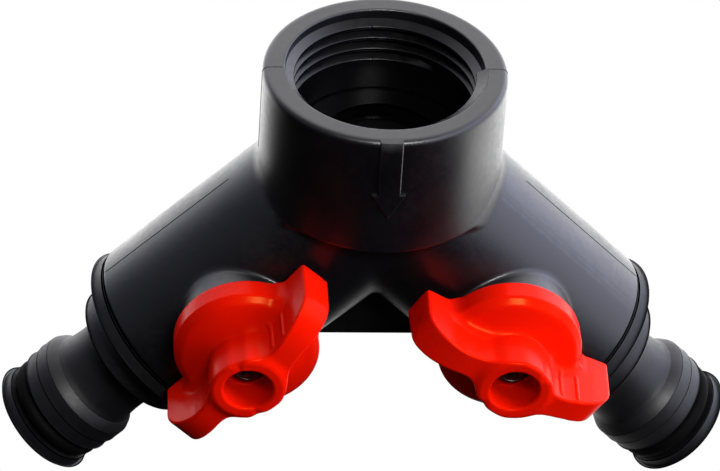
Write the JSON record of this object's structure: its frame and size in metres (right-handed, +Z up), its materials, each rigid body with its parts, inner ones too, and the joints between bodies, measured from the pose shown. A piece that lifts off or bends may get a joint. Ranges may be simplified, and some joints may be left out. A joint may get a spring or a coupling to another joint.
{
  "type": "hose splitter",
  "caption": "Inverted-Y garden hose splitter with a threaded tap inlet, a quarter-turn shut-off valve with a winged knob on each arm, and ribbed quick-connect outlets.",
  "frame": {"origin": "middle of the flat bottom face of the web between the two arms, directly under the inlet's axis", "axes": "+Z up along the inlet axis and out of its mouth, -Y towards the knobs, the two outlets lie in the XZ plane"},
  "size_m": [0.1026, 0.0413, 0.0683],
  "materials": {
    "body_plastic": "fine matte moulded polymer, anthracite",
    "seal_rubber": "smooth black rubber",
    "seat_plastic": "waxy white seat polymer",
    "stem_plastic": "ivory acetal",
    "knob_plastic": "semi-gloss orange-red moulded polymer",
    "screw_steel": "zinc-plated steel"
  },
  "bodies": {
    "housing_body": {"housing": "body_plastic", "inlet_gasket": "seal_rubber", "outlet_nipple_left": "body_plastic", "outlet_nipple_right": "body_plastic", "nipple_joint_seal_left": "seal_rubber", "nipple_joint_seal_right": "seal_rubber", "nipple_spigot_o_ring_left": "seal_rubber", "nipple_spigot_o_ring_right": "seal_rubber", "coupling_o_ring_left": "seal_rubber", "coupling_o_ring_right": "seal_rubber", "ball_seat_upstream_left": "seat_plastic", "ball_seat_upstream_right": "seat_plastic", "ball_seat_downstream_left": "seat_plastic", "ball_seat_downstream_right": "seat_plastic", "stem_thrust_washer_left": "seat_plastic", "stem_thrust_washer_right": "seat_plastic"},
    "left_valve": {"knob_left": "knob_plastic", "knob_screw_left": "screw_steel", "valve_stem_left": "stem_plastic", "valve_ball_left": "stem_plastic", "stem_o_ring_inner_left": "seal_rubber", "stem_o_ring_outer_left": "seal_rubber"},
    "right_valve": {"knob_right": "knob_plastic", "knob_screw_right": "screw_steel", "valve_stem_right": "stem_plastic", "valve_ball_right": "stem_plastic", "stem_o_ring_inner_right": "seal_rubber", "stem_o_ring_outer_right": "seal_rubber"}
  },
  "joints": [
    {"name": "left_valve_turn", "type": "hinge", "parent": "housing_body", "child": "left_valve", "pos_m": [-0.01775, -0.0139, 0.01025], "axis": [0, -1, 0], "range_deg": [0, 90]},
    {"name": "right_valve_turn", "type": "hinge", "parent": "housing_body", "child": "right_valve", "pos_m": [0.01775, -0.0139, 0.01025], "axis": [0, -1, 0], "range_deg": [-10.6, 79.4]}
  ]
}
